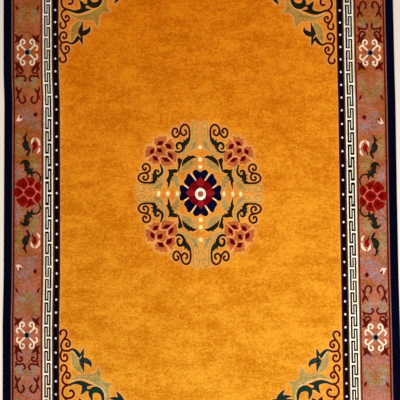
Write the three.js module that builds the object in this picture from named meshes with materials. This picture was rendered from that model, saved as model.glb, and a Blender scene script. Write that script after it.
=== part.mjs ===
// Hand-knotted wool pile rug, lying flat. Millimetres, +Z up.
// The origin is on the floor under the middle of the rug: X runs across it and Y along it.
import * as THREE from 'three';

// Driving dimensions
const WIDTH = 1830; // between the two long edges
const LENGTH = 2745; // between the two ends
const PILE_TOP = 12; // floor to the tips of the pile
const BORDER_SIDE = 259; // long edge to the plain field
const BORDER_END = 290; // end to the plain field
const SKEW = -0.0136; // sideways drift of the weave for each millimetre along the rug
const CLIP_HALF_WIDTH = 3; // half the width of a line clipped into the pile
const CLIP_DEPTH = 1.6; // how deep such a line is clipped
const STEPS_ACROSS = 8; // straight pieces in each end of a ring
const STEPS_ALONG = 20; // straight pieces in each long side of a ring

// Section of the rim, from where it leaves the floor, out round the edge and up to the pile's tips
const RIM = [
  { inset: 5, height: 0 },
  { inset: 1.4, height: 1.2 },
  { inset: 0, height: 4 },
  { inset: 0.8, height: 7.6 },
  { inset: 3, height: 10.4 },
  { inset: 7, height: PILE_TOP },
];

// Where the pile is clipped between two woven bands, measured in from the long edge
const CLIPPED_LINES = [
  { between: 'navy edge and flower border', inset: 38 },
  { between: 'flower border and key fret', inset: 182 },
  { between: 'key fret and pearl guard', inset: 234 },
  { between: 'pearl guard and field', inset: BORDER_SIDE },
];

// How far each long edge wanders from straight, in +X, at stations along the rug
const EDGE_WANDER = [
  { along: -1372.5, left: -0.5, right: 1.5 },
  { along: -840, left: -0.8, right: 2.2 },
  { along: -610, left: -1.8, right: 2.4 },
  { along: -380, left: 2.2, right: -0.3 },
  { along: 0, left: 2.6, right: -1.0 },
  { along: 440, left: 3.2, right: 1.6 },
  { along: 560, left: -1.2, right: 0.7 },
  { along: 915, left: -2.4, right: 1.3 },
  { along: 1372.5, left: -1.5, right: 0.5 },
];

// Wander of both edges at a place along the rug, eased from one station to the next.
function edgeWander(along) {
  const last = EDGE_WANDER.length - 1;
  const next = EDGE_WANDER.findIndex((station, i) => i > 0 && along <= station.along);
  const b = EDGE_WANDER[next < 0 ? last : next];
  const a = EDGE_WANDER[next < 0 ? last - 1 : next - 1];
  const t = THREE.MathUtils.smoothstep(along, a.along, b.along);
  return {
    left: THREE.MathUtils.lerp(a.left, b.left, t),
    right: THREE.MathUtils.lerp(a.right, b.right, t),
  };
}

// Moves a point of the straight, square weave to where the real rug lies.
function asWoven(x, y, height) {
  const wander = edgeWander(y);
  const share = x / WIDTH + 0.5;
  const drift = THREE.MathUtils.lerp(wander.left, wander.right, share);
  return new THREE.Vector3(x + SKEW * y + drift, y, height);
}

// One closed ring of points round the rug, anticlockwise from above, at an inset from its edges.
function ring({ inset, height }) {
  const halfAcross = WIDTH / 2 - inset;
  const halfAlong = LENGTH / 2 - (inset * BORDER_END) / BORDER_SIDE;
  const corners = [
    { x: -halfAcross, y: -halfAlong, steps: STEPS_ACROSS },
    { x: halfAcross, y: -halfAlong, steps: STEPS_ALONG },
    { x: halfAcross, y: halfAlong, steps: STEPS_ACROSS },
    { x: -halfAcross, y: halfAlong, steps: STEPS_ALONG },
  ];
  return corners.flatMap((from, i) => {
    const to = corners[(i + 1) % corners.length];
    return Array.from({ length: from.steps }, (_, step) => {
      const t = step / from.steps;
      const x = THREE.MathUtils.lerp(from.x, to.x, t);
      const y = THREE.MathUtils.lerp(from.y, to.y, t);
      return asWoven(x, y, height);
    });
  });
}

// The three rings of a clipped line: down into the pile and up again.
function clippedLine({ inset }) {
  return [
    { inset: inset - CLIP_HALF_WIDTH, height: PILE_TOP },
    { inset, height: PILE_TOP - CLIP_DEPTH },
    { inset: inset + CLIP_HALF_WIDTH, height: PILE_TOP },
  ];
}

// The rug's closed surface: rings joined from the floor to the field, then a back and a field face.
function rugGeometry() {
  const rings = [...RIM, ...CLIPPED_LINES.flatMap(clippedLine)].map(ring);
  const count = rings[0].length;
  const points = rings.flat();
  const backMiddle = points.push(asWoven(0, 0, 0)) - 1;
  const fieldMiddle = points.push(asWoven(0, 0, PILE_TOP)) - 1;
  const fieldRing = (rings.length - 1) * count;
  const triangles = [];
  for (let i = 0; i < count; i += 1) {
    const next = (i + 1) % count;
    for (let low = 0; low < fieldRing; low += count) {
      const high = low + count;
      triangles.push(low + i, low + next, high + next);
      triangles.push(low + i, high + next, high + i);
    }
    triangles.push(backMiddle, next, i);
    triangles.push(fieldMiddle, fieldRing + i, fieldRing + next);
  }
  const geometry = new THREE.BufferGeometry().setFromPoints(points);
  geometry.setIndex(triangles);
  geometry.computeVertexNormals();
  return geometry;
}

const woolPile = new THREE.MeshStandardMaterial({ color: 0xcf7d16, roughness: 0.95, metalness: 0 });

const rug = new THREE.Mesh(rugGeometry(), woolPile);
rug.name = 'rug';

const tibetanRug = new THREE.Group();
tibetanRug.add(rug);

export default tibetanRug;
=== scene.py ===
"""Hand-knotted wool rug: its clipped, patterned pile, its woven back and the floor it lies on."""

from math import cos, pi, radians, sin

import bmesh
import bpy
import numpy as np
from bpy.props import FloatProperty, FloatVectorProperty, PointerProperty
from mathutils import Euler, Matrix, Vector
from mathutils.geometry import delaunay_2d_cdt
from mathutils.kdtree import KDTree


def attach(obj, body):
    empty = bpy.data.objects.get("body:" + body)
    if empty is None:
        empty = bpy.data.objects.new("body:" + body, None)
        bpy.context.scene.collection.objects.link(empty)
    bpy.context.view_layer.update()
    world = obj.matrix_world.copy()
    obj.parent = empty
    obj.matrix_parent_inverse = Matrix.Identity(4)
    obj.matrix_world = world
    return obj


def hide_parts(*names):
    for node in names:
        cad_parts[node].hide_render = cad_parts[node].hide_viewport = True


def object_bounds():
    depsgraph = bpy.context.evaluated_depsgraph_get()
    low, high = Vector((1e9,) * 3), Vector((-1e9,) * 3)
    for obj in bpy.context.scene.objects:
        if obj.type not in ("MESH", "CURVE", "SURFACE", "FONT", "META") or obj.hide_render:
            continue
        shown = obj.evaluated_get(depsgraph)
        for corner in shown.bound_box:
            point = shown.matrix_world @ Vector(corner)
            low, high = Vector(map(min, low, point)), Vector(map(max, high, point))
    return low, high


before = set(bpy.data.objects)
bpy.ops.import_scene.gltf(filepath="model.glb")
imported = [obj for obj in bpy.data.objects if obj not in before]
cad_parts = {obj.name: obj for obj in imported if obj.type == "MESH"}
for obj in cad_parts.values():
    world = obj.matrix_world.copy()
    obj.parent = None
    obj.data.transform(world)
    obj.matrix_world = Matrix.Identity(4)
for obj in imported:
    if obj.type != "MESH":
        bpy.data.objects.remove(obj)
CAD_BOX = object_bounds()

bl_info = {
    "name": "Tibetan Rug",
    "version": (1, 0, 0),
    "blender": (4, 5, 0),
    "location": "View3D > Sidebar > Rug",
    "description": "Knots a patterned wool rug on its flat frame",
    "category": "Object",
}

# The chart below is drawn in millimetres on a straight, square weave, with its origin under the
# rug's middle, X across and Y along. METRES turns it into the frame's unit.
METRES = 0.001
PILE_TOP = CAD_BOX[1][2] / METRES
LENGTH = (CAD_BOX[1][1] - CAD_BOX[0][1]) / METRES
WIDTH = 1830.0
SKEW = -0.0136
BORDER_SIDE = 263.0
BORDER_END = 294.5
END_STRETCH = BORDER_END / BORDER_SIDE

# How far each long edge wanders from straight, in +X, at stations along the rug
WANDER_ALONG = (-1372.5, -840, -610, -380, 0, 440, 560, 915, 1372.5)
WANDER_LEFT = (-0.5, -0.8, -1.8, 2.2, 2.6, 3.2, -1.2, -2.4, -1.5)
WANDER_RIGHT = (1.5, 2.0, 2.2, 0.2, 0.8, 3.0, 2.0, 1.3, 0.5)

# How far the inner edges of the border wander as well, from where this starts and over what width
INNER_START = 150.0
INNER_EASE = 80.0
INNER_ALONG = (-1372.5, -840, -607, -374, -140, 93, 327, 560, 794, 1372.5)
INNER_LEFT = (-2.0, -2.2, -2.0, -0.6, -0.6, -0.9, -2.4, -3.8, -4.8, -4.0)
INNER_RIGHT = (-2.0, -2.2, -2.2, -0.8, -1.8, -1.8, -2.6, -2.8, -2.0, -2.0)

# Section of the rim from the pile's tips, out round the edge and down to the floor
RIM_TOP_INSET = 3.5
EDGE_X = WIDTH / 2 - RIM_TOP_INSET
EDGE_Y = LENGTH / 2 - RIM_TOP_INSET
RIM = ((-0.5, 10.4), (-2.8, 7.6), (-3.6, 4.0), (-2.2, 1.2), (1.4, 0.0))

# Woven bands from the long edge to the field: where each starts, and its yarn
BANDS = (
    (0.0, "navy"),
    (36.0, "blush"),
    (41.0, "oxblood"),
    (49.0, "rose_brown"),
    (174.5, "oxblood"),
    (181.5, "tan"),
    (185.5, "cream"),
    (191.5, "ink"),
    (222.5, "cream"),
    (228.5, "umber"),
    (235.5, "midnight"),
    (255.5, "bark"),
    (BORDER_SIDE, "gold"),
)

# A mark that each yarn carries beside its colour: 1 for the field, a little less for light yarns
# that fade with it, a half for the border's ground. Yarns left out have 0 and keep their dye.
FADES = {"gold": 1.0, "khaki": 1.0, "olive": 0.9, "olive_pale": 0.9, "straw": 0.9, "rose_brown": 0.5}

# Faded leaves, which have lost their outlines and melt into the ground, how wide their edges are,
# and how much of each yarn shows where such a leaf lies on the field
SOFT_YARNS = ("moss", "mauve", "ember")
SOFT_EDGE = 18.0
SOFT_ON_FIELD = (0.42, 0.0, 0.0)

# Key fret: where its two columns of bars lie between the cream stripes, from the stripe inwards
FRET_OUTER = (191.5, 199.3, 203.3)
FRET_INNER = (222.5, 214.1, 210.2)
FRET_BAR = 88.0
FRET_STEM = 8.0
FRET_BEAT = 112.1

# Where the count of half beats and of pearls falls along a side, since the weaver's count wavers
FRET_COUNT = (-4, 0, 6, 10, 13, 17, 21, 24, 31, 36)
FRET_ALONG = (1126, 902, 577, 357, 184, -57, -285, -444, -833, -1112)
PEARL_COUNT = (-4, 0, 4, 8, 11, 15, 18, 22, 25, 28, 32)
PEARL_ALONG = (1104, 870, 638, 397, 205, -63, -249, -491, -669, -866, -1104)
PEARL_INSET = 246.5
PEARL_BEAT = 62.2
PEARL_TALL = 1.1
PEARL_SIDES = 10
PEARL_CLEAR = 20.0

# Outlines: the thinnest line, how far a stem's ends stand out, and the tips of petals and teeth
THINNEST = 0.8
END_ROUND = 0.8
PETAL_TIP = 2
TOOTH_WAIST = 0.7
TOOTH_TIP = 1.5

# Medallion: its middle, the place and lean of its lotus, and how much fuller it is on the left and
# below: by how much, from how far out, and over what width that eases in
MEDALLION_X = 4.2
MEDALLION_Y = 6.0
LOTUS_AT = (183, 200)
LOTUS_LEAN = radians(-46)
FULLER_LEFT = (9, 140)
FULLER_BELOW = (8, 185)
FULLER_EASE = 50

# Corner sprays: how the half along the end is drawn out and shifted from the half along the side,
# the height of the crown, and the flower at the foot
CORNER_DRAW = 1.15
CORNER_SHIFT = (-3.0, 5.0)
CORNER_CROWN = 453.0
FOOT_AT = (112, 108)
FOOT_PETALS = 6
FOOT_TURN = 52
FOOT_WAIST = (26, 27)
FOOT_TIP = (46, 48)

# How each corner spray is set: side, end, where its anchor lies in X, the height of its crown in Y,
# and how far the weaver drew it out along the rug
CORNER_SETTING = (
    (-1, -1, 656.0, 631.0, 1.036),
    (-1, 1, 656.0, 621.6, 1.037),
    (1, -1, 650.0, 630.0, 0.99),
    (1, 1, 650.0, 618.5, 1.034),
)

# Middle line of the flower border, measured from the rug's middle, and where the lotus, rosettes,
# scrolls and flecks of each long side lie along it
BORDER_MID_X = 804.0
BORDER_MID_Y = 1230.0
RUN_LEFT = (3, (668, -656), (688, -656), (-449, 879))
RUN_RIGHT = (-1, (655, -669), (680, -650), (-458, 869))
END_FLECKS = 440
LEAVES_BELOW = 0.985

# Mesh of the pile
LATTICE_PLAIN = 25.0
LATTICE_FIGURED = 14.5
LATTICE_STRAY = 0.3
FIGURED_REACH = 3 * LATTICE_FIGURED
EDGE_CLEAR = 3.0
BESIDE_OUTLINE = 6.0
BESIDE_EVERY = 3
BAND_STEP = 45.0
MERGE_WITHIN = 0.01
ON_EDGE = 0.1
TINY = 1e-6
CLIP_REACH = 4.5
# Painted highlight along the lines where two yarns meet: its narrow reach, its wide reach and the wide part's
# share
PAINTED_HIGHLIGHT_REACH = 4.6
PAINTED_GLOW_REACH = 14.0
PAINTED_GLOW_SHARE = 0.2
SEED = 7

# Stage, in metres and degrees, with the camera's sensor in millimetres
FLOOR_HALF = 6.0
SKY_COLOUR = (1.0, 0.98, 0.95, 1.0)
LIGHT_COLOUR = (1.0, 0.96, 0.9)
LIGHT_SIDE = 3.0
LIGHT_PLACE = (0.6, -1.2, 3.6)
LIGHT_TURN = (-14, 8, 0)
SENSOR_WIDTH = 36.0
CAMERA_X = 0.0242
CAMERA_Y = -0.1138
CAMERA_TURN = (1.96, 0.485, 0.253)


def linear(red, green, blue):
    """The linear colour of a screen colour from 0 to 255."""
    shares = [part / 255 for part in (red, green, blue)]
    return tuple(s / 12.92 if s <= 0.04045 else ((s + 0.055) / 1.055) ** 2.4 for s in shares)


# Drawing the chart

def eased(a, b, c, d, steps):
    """Points from b towards c, on the smooth line that also passes through a and d."""
    t = np.linspace(0, 1, steps, endpoint=False)[:, None]
    bend = (c - a) * t + (2 * a - 5 * b + 4 * c - d) * t**2 + (3 * b - a - 3 * c + d) * t**3
    return b + bend / 2


def curve(points, steps):
    """A smooth line through a few points. Each row may carry a width, which is eased as well."""
    rows = np.array(points, float)
    ends = np.vstack([2 * rows[0] - rows[1], rows, 2 * rows[-1] - rows[-2]])
    parts = [eased(*four, steps) for four in zip(ends, ends[1:], ends[2:], ends[3:])]
    return np.vstack([*parts, rows[-1:]])


def closed_curve(points, steps):
    """A smooth closed outline through a few points."""
    rows = np.array(points, float)
    before, after, beyond = (np.roll(rows, k, axis=0) for k in (1, -1, -2))
    return np.vstack([eased(*four, steps) for four in zip(before, rows, after, beyond)])


def ribbon(points, width=None, steps=4):
    """Outline of a stem or leaf. Rows are (x, y, width), or (x, y) with one width for all."""
    if width is not None:
        points = [(x, y, width) for x, y in points]
    line = curve(points, steps)
    along = np.gradient(line[:, :2], axis=0)
    along /= np.linalg.norm(along, axis=1)[:, None]
    half = np.maximum(line[:, 2:3], THINNEST) / 2
    side = np.column_stack([-along[:, 1], along[:, 0]]) * half
    start = line[0, :2] - along[0] * half[0] * END_ROUND
    end = line[-1, :2] + along[-1] * half[-1] * END_ROUND
    return np.vstack([start, line[:, :2] + side, end, (line[:, :2] - side)[::-1]])


def stems(yarn, width, *lines):
    """Stems of one yarn and width, each along a line of points (x, y)."""
    return [(yarn, ribbon(line, width)) for line in lines]


def leaves(yarn, *spines):
    """Leaves of one yarn, each along a spine of rows (x, y, width)."""
    return [(yarn, ribbon(spine)) for spine in spines]


def lens(x0, y0, x1, y1, width):
    """Outline of a pointed petal or bud between two tips."""
    return ribbon([(x0, y0, PETAL_TIP), ((x0 + x1) / 2, (y0 + y1) / 2, width), (x1, y1, PETAL_TIP)])


def toothed(yarn, spine, teeth):
    """A leaf with pointed teeth. A row of its spine is (x, y, width), a tooth (x, y, width, tip x, tip y)."""
    shapes = leaves(yarn, spine)
    for x, y, width, tip_x, tip_y in teeth:
        waist = ((x + tip_x) / 2, (y + tip_y) / 2, TOOTH_WAIST * width)
        shapes.append((yarn, ribbon([(x, y, width), waist, (tip_x, tip_y, TOOTH_TIP)], steps=3)))
    return shapes


def disc(x, y, across, tall, count=14):
    """Outline of a round or oval dot."""
    turn = np.arange(count) * 2 * pi / count
    return np.column_stack([x + np.cos(turn) * across / 2, y + np.sin(turn) * tall / 2])


def block(x0, y0, x1, y1):
    """Outline of an upright rectangle."""
    return np.array([(x0, y0), (x1, y0), (x1, y1), (x0, y1)], float)


def moved(shapes, place):
    """The same shapes with every outline sent through place(x, y)."""
    return [(yarn, np.column_stack(place(line[:, 0], line[:, 1]))) for yarn, line in shapes]


def both_ways(shapes):
    """The shapes and their mirror image across the Y axis."""
    return shapes + moved(shapes, lambda x, y: (-x, y))


def four_ways(shapes):
    """The shapes of one quarter and their mirror images across both axes."""
    half = both_ways(shapes)
    return half + moved(half, lambda x, y: (x, -y))


# Key fret and pearls

def key_fret():
    """Interlocking T shapes in cream on the dark strip, along all four sides."""
    shapes = []

    def tees(reach, stations, place):
        for i, at in enumerate(stations):
            if abs(at) + FRET_BAR / 2 > reach:
                continue
            near, far = (FRET_OUTER, FRET_INNER) if i % 2 else (FRET_INNER, FRET_OUTER)
            stem = block(near[0], at - FRET_STEM / 2, far[2], at + FRET_STEM / 2)
            bar = block(far[1], at - FRET_BAR / 2, far[2], at + FRET_BAR / 2)
            shapes.extend(moved([("cream", stem), ("cream", bar)], place))

    along = np.interp(np.arange(FRET_COUNT[0], FRET_COUNT[-1] + 1), FRET_COUNT, FRET_ALONG)
    half_count = int(WIDTH / FRET_BEAT)
    level = np.arange(-half_count, half_count + 1) * FRET_BEAT / 2
    for turn in (-1, 1):
        tees(
            LENGTH / 2 - FRET_INNER[0] * END_STRETCH,
            along,
            lambda e, v: (turn * (WIDTH / 2 - e), v),
        )
        tees(
            WIDTH / 2 - FRET_INNER[0],
            level,
            lambda e, v: (v, turn * (LENGTH / 2 - e * END_STRETCH)),
        )
    return shapes


def pearls(across):
    """White dots of a given width along the dark guard."""
    side_y = LENGTH / 2 - PEARL_INSET * END_STRETCH
    side_x = WIDTH / 2 - PEARL_INSET
    along = np.interp(np.arange(PEARL_COUNT[0], PEARL_COUNT[-1] + 1), PEARL_COUNT, PEARL_ALONG)
    level = np.linspace(-side_x, side_x, round(2 * side_x / PEARL_BEAT) + 1)
    places = []
    for turn in (-1, 1):
        places += [(turn * side_x, y) for y in along if abs(y) < side_y - PEARL_CLEAR]
        places += [(x, turn * side_y) for x in level]
    return [("pearl", disc(x, y, across, PEARL_TALL * across, PEARL_SIDES)) for x, y in places]


# Medallion

def heart_flower():
    """The middle flower: eight navy petals round a ruby rosette and a cream eye."""
    inner_out, inner_share = 1.03, 0.66
    lift, eye_y = 1.6, -3.4
    half = [(16, 54), (20, 62), (29, 78), (36, 90), (34, 101), (26, 108), (17, 108.5), (8, 103)]
    top = [(0, 48), *half, (0, 98), *[(-x, y) for x, y in reversed(half)]]
    half = [(50, 13), (57, 20), (74, 31), (81, 36), (89, 37), (96, 33), (98, 25), (97, 15), (94.5, 7)]
    side = [(44, 0), *half, (92, 0), *[(x, -y) for x, y in reversed(half)]]
    slant = [
        (24, 55), (33, 69), (41, 80), (48, 88), (56, 91), (62, 86), (65, 75), (70, 66), (76, 58), (77, 50),
        (72, 40), (63, 33), (53, 26), (36, 38),
    ]
    petals = [closed_curve(line, 3) for line in (top, side, slant)]
    petals += [-petals[0], -petals[1]] + [petals[2] * turn for turn in ((-1, 1), (1, -1), (-1, -1))]
    shapes = four_ways(leaves(
        "shell",
        [(18, 54, 5), (31, 73, 5.5), (43, 90, 5)],
        [(53, 21, 5), (64, 28.5, 5.5), (75, 36, 4)],
    ))
    shapes += [("midnight", petal) for petal in petals]
    for petal in petals:
        middle = petal.mean(axis=0)
        shapes.append(("heart_navy", middle * inner_out + (petal - middle) * inner_share))
    quarter = [(9, 64), (20, 58), (34, 50), (46, 40), (55, 24), (60, 11)]
    right = quarter + [(69, 0)] + [(x, -y) for x, y in reversed(quarter)]
    body = [(0, 74), *right, (0, -75), *[(-x, y) for x, y in reversed(right)]]
    shapes.append(("ruby_deep", closed_curve(body, 3)))
    lobes = (
        [(0, 36, 26), (0, 50, 33), (0, 62, 19), (0, 74, 2)],
        [(34, 0, 28), (46, 0, 36), (57, 0, 22), (68, 0, 2)],
    )
    for lobe in lobes:
        outline = ribbon(lobe)
        shapes += [("ruby", outline), ("ruby", -outline)]
    shapes = moved(shapes, lambda x, y: (x, y + lift))
    shapes.append(("cream", disc(0, eye_y, 51, 56, 24)))
    shapes.append(("umber_eye", disc(0, eye_y, 27, 29, 16)))
    return shapes


def lotus_spray():
    """A faded lotus seen from the side, measured from its middle, with its foot towards -Y."""
    shade_width = 9
    upper = [
        (3, 24), (7, 45), (16, 41), (27, 57), (34, 45), (49, 46), (54, 35), (70, 29), (60, 18), (46, 8),
        (26, 7),
    ]
    side = [(26, 5), (46, 6), (76, 5), (64, -8), (66, -28), (52, -33), (45, -48), (28, -28)]
    foot = [(27, -28), (45, -48), (38, -68), (20, -80), (0, -92), (0, -42)]
    heart = [(0, 20), (24, 6), (27, -27), (0, -44)]
    cores = [(11, 23, 42, 18, 19), (40, 4, 39, -30, 20), (18, -31, 8, -68, 18)]
    half = [("rose", np.array(line, float)) for line in (upper, side, foot, heart)]
    half += stems(
        "pink", 6,
        [(0, 20), (28, 8), (50, 8), (74, 11)],
        [(28, 8), (28, -26), (44, -47)],
        [(28, -26), (13, -25), (0, -45)],
        [(0, 20), (5, 34), (8, 46)],
    )
    half += [("rose_deep", lens(*tips, width + shade_width)) for *tips, width in cores]
    half += [("garnet", lens(*core)) for core in cores]
    middle = stems("pink", 6, [(0, -44), (0, -66), (0, -90)]) + [("garnet", lens(0, -15, 0, 14, 20))]
    return both_ways(half) + middle


def medallion_quarter():
    """Scrolls, leaves and lotus of the upper right quarter, from the medallion's middle."""
    upper_band = [(36, 250), (40, 222), (56, 202), (84, 188), (116, 184)]
    level_band = [(204, 40), (184, 49), (169, 72), (165, 102), (170, 128), (174, 148)]
    shapes = stems("moss", 30, upper_band, level_band)
    shapes += stems("moss", 34, [(28, 150), (58, 130), (90, 104)], [(132, 88), (116, 56), (108, 24)])
    shapes += stems("tan_line", 14, upper_band, level_band)
    # Paired key bars at the ends of the two axes
    shapes.append(("khaki", block(9, 246, 36, 332)))
    shapes += stems(
        "tan_line", 5.5,
        [(36, 246), (36, 316), (28, 331), (16, 330), (9, 318), (9, 300), (20, 296), (24, 308)],
        [(22, 248), (11, 256), (10, 272), (20, 276), (25, 264)],
    )
    shapes.append(("khaki", block(204, 6, 284, 38)))
    shapes += stems(
        "tan_line", 5.5,
        [(204, 38), (272, 38), (285, 30), (285, 16), (274, 8), (258, 10), (254, 22), (264, 26)],
        [(206, 10), (206, 24), (222, 28), (230, 18), (222, 12)],
    )
    # Pale feathered leaves beside the flower and beside the axes
    shapes += toothed(
        "olive_pale", [(30, 156, 4), (44, 144, 22), (60, 130, 32), (78, 114, 18), (88, 106, 3)],
        [(38, 140, 12, 28, 124), (54, 126, 14, 42, 112), (70, 120, 12, 62, 104)])
    shapes += toothed(
        "olive_pale", [(134, 86, 4), (124, 70, 22), (116, 54, 28), (108, 38, 16), (112, 24, 3)],
        [(118, 72, 14, 102, 82), (112, 58, 14, 94, 62), (106, 42, 12, 94, 38)])
    shapes += stems("olive", 6, [(32, 158), (52, 140), (82, 112)], [(131, 80), (118, 54), (112, 26)])
    shapes += toothed(
        "olive", [(12, 246, 4), (24, 232, 20), (38, 216, 26), (56, 200, 4)], [(30, 220, 12, 16, 208)])
    shapes += toothed(
        "olive", [(208, 20, 4), (192, 28, 18), (180, 44, 24), (168, 66, 4)], [(186, 34, 12, 178, 18)])
    shapes += stems("wheat", 6, upper_band, level_band)
    lotus_x, lotus_y = LOTUS_AT
    cosine, sine = cos(LOTUS_LEAN), sin(LOTUS_LEAN)
    shapes += moved(
        lotus_spray(),
        lambda x, y: (lotus_x + x * cosine - y * sine, lotus_y + x * sine + y * cosine),
    )
    # Dark leaves, in four toothed blades
    shapes += toothed(
        "sable",
        [(18, 165, 3), (32, 170, 13), (48, 165, 19), (60, 160, 21), (72, 150, 18), (80, 138, 11),
         (87, 122, 2)],
        [(52, 166, 12, 59, 181), (62, 156, 12, 69, 139), (44, 165, 10, 35, 179)])
    shapes += toothed(
        "sable", [(99, 161, 16), (96, 149, 21), (97, 135, 13), (100, 120, 11), (103, 106, 5)],
        [(94, 152, 14, 82, 158), (99, 156, 10, 106, 163)])
    shapes += toothed(
        "sable", [(102, 104, 6), (116, 105, 17), (130, 102, 20), (141, 105, 13), (151, 112, 2)],
        [(118, 102, 10, 110, 93)])
    shapes += toothed(
        "sable", [(139, 102, 18), (137, 88, 19), (142, 74, 16), (147, 62, 16), (146, 48, 11), (151, 19, 2)],
        [(147, 65, 12, 158, 54), (138, 88, 14, 121, 83), (143, 71, 10, 131, 61)])
    # Scrolls and comb leaf beside the upright axis
    shapes += stems(
        "plum", 10,
        [(52, 248), (49, 270), (49, 292), (54, 312), (69, 322), (84, 314), (91, 298), (90, 283), (78, 271),
         (66, 277), (64, 290), (72, 297)],
        [(91, 292), (99, 274), (112, 262), (124, 268), (129, 282), (126, 297), (116, 304), (106, 298),
         (105, 289), (112, 283)],
    )
    shapes += leaves(
        "sable",
        [(117, 198, 6), (103, 192, 10), (89, 197, 11), (80, 208, 13), (80, 222, 15), (88, 233, 13),
         (99, 236, 12), (108, 227, 12), (109, 214, 11), (102, 207, 8), (95, 211, 5)],
    )
    shapes += toothed(
        "sable", [(50, 260, 11), (58, 246, 19), (68, 237, 22), (80, 226, 19)],
        [(61, 245, 8, 64, 262), (71, 239, 8, 79, 256), (58, 242, 8, 56, 226), (65, 235, 8, 64, 215),
         (72, 229, 8, 71, 206)])
    shapes.append(("bottle", lens(56, 248, 78, 230, 9)))
    # Scrolls and comb leaf beside the level axis
    shapes += stems(
        "plum", 10,
        [(204, 50), (220, 48), (240, 48), (262, 50), (277, 60), (281, 74), (273, 87), (258, 93), (244, 93),
         (236, 83), (236, 71), (244, 62), (255, 63), (259, 73), (252, 79)],
        [(256, 93), (234, 100), (226, 114), (231, 129), (244, 137), (257, 131), (261, 119), (254, 108),
         (246, 111), (246, 119)],
    )
    shapes += leaves(
        "sable",
        [(181, 134, 5), (174, 115, 9), (173, 99, 11), (181, 86, 12), (193, 80, 13), (203, 88, 13),
         (204, 100, 13), (196, 107, 11), (187, 103, 8), (187, 95, 5)],
    )
    shapes += toothed(
        "sable", [(203, 97, 15), (205, 83, 21), (204, 69, 21), (208, 56, 16), (222, 49, 11)],
        [(206, 86, 8, 223, 86), (207, 71, 8, 225, 66), (202, 78, 8, 180, 72), (202, 65, 8, 188, 57)])
    shapes.append(("bottle", lens(205, 94, 205, 66, 9)))
    return shapes


def medallion():
    """The whole round figure in the middle of the field, a little fuller to the left and below."""
    quarter = medallion_quarter()
    shapes = []

    def fuller(at, grow, start):
        return grow * ((at - start) / FULLER_EASE).clip(0, 1)

    def spread(x, y, across, up):
        wider = fuller(x, *FULLER_LEFT) if across < 0 else 0
        taller = fuller(y, *FULLER_BELOW) if up < 0 else 0
        return across * (x + wider), up * (y + taller)

    for across in (-1, 1):
        for up in (-1, 1):
            shapes += moved(quarter, lambda x, y: spread(x, y, across, up))
        beads = [("bead", disc(x, 2, 13, 23)) for x in (109, 151, 187)]
        shapes += moved(beads, lambda x, y: spread(x, y, across, -1))
        shapes += [("bead", disc(0, across * y, 17, 19)) for y in (123, 158, 216)]
    shapes += heart_flower()
    return moved(shapes, lambda x, y: (x + MEDALLION_X, y + MEDALLION_Y))


# Corner sprays

def corner_side():
    """The half of a corner spray that climbs a long side: (in from the side, up from the end)."""
    shapes = leaves("olive", [(62, 358, 5), (74, 332, 26), (82, 304, 38), (94, 282, 28), (110, 262, 3)])
    shapes += leaves("olive_pale", [(72, 350, 3), (80, 326, 8), (90, 300, 10), (104, 274, 3)])
    shapes += [("olive_pale", lens(64, 322, 84, 314, 5)), ("olive_pale", lens(68, 300, 92, 294, 5))]
    shapes += stems("straw", 4.5, [(64, 358), (79, 345), (93, 323), (103, 296), (110, 268)])
    shapes += leaves(
        "bottle",
        [(48, 363, 8), (66, 368, 10), (80, 360, 14), (91, 347, 17), (100, 334, 15)],
        [(104, 332, 22), (110, 350, 16), (116, 374, 2)],
        [(106, 340, 18), (107, 320, 25), (110, 299, 18), (114, 281, 9), (116, 264, 2)],
    )
    shapes.append(("bottle_blue", lens(104, 334, 110, 298, 11)))
    shapes += leaves("straw", [(107, 341, 2), (102, 333, 5), (97, 324, 3)])
    shapes += stems(
        "russet", 10,
        [(11, 432), (9, 444), (16, 452), (26, 454), (35, 448), (38, 438), (34, 425), (26, 413), (17, 401),
         (12, 388), (13, 375), (20, 365), (33, 361), (52, 362)],
        [(26, 413), (41, 411), (51, 402), (53, 390), (46, 380), (37, 382), (35, 391), (41, 396)],
        [(19, 366), (11, 352), (9, 336), (15, 321), (26, 315), (37, 319), (41, 329), (37, 341), (28, 345),
         (24, 336)],
        [(14, 271), (11, 283), (16, 295), (26, 298), (36, 291), (38, 280), (32, 267), (23, 254), (17, 238),
         (21, 222), (36, 212), (56, 212)],
        [(23, 254), (34, 265), (45, 265), (53, 255), (51, 244), (42, 239), (36, 244), (39, 251)],
    )
    shapes += stems(
        "russet", 10.5,
        [(44, 211), (29, 204), (20, 192), (17, 176), (22, 161), (35, 153), (52, 153), (66, 160), (71, 172),
         (66, 183), (57, 187), (51, 182)],
    )
    return shapes + stems("russet", 8.5, [(24, 158), (38, 142), (60, 126), (78, 114)])


def corner_hook():
    """The hooked leaf at the head of the side half."""
    hook = leaves("bottle", [(108, 322, 22), (126, 319, 23), (140, 311, 21), (148, 302, 14), (149, 288, 3)])
    return hook + [("bottle_blue", lens(112, 324, 142, 313, 11))]


def corner_crown():
    """The forked leaf at the head of the end half."""
    return leaves(
        "bottle",
        [(298, 116, 26), (289, 146, 25), (279, 166, 16), (266, 184, 2)],
        [(292, 138, 26), (262, 151, 18), (231, 154, 2)],
    )


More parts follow.
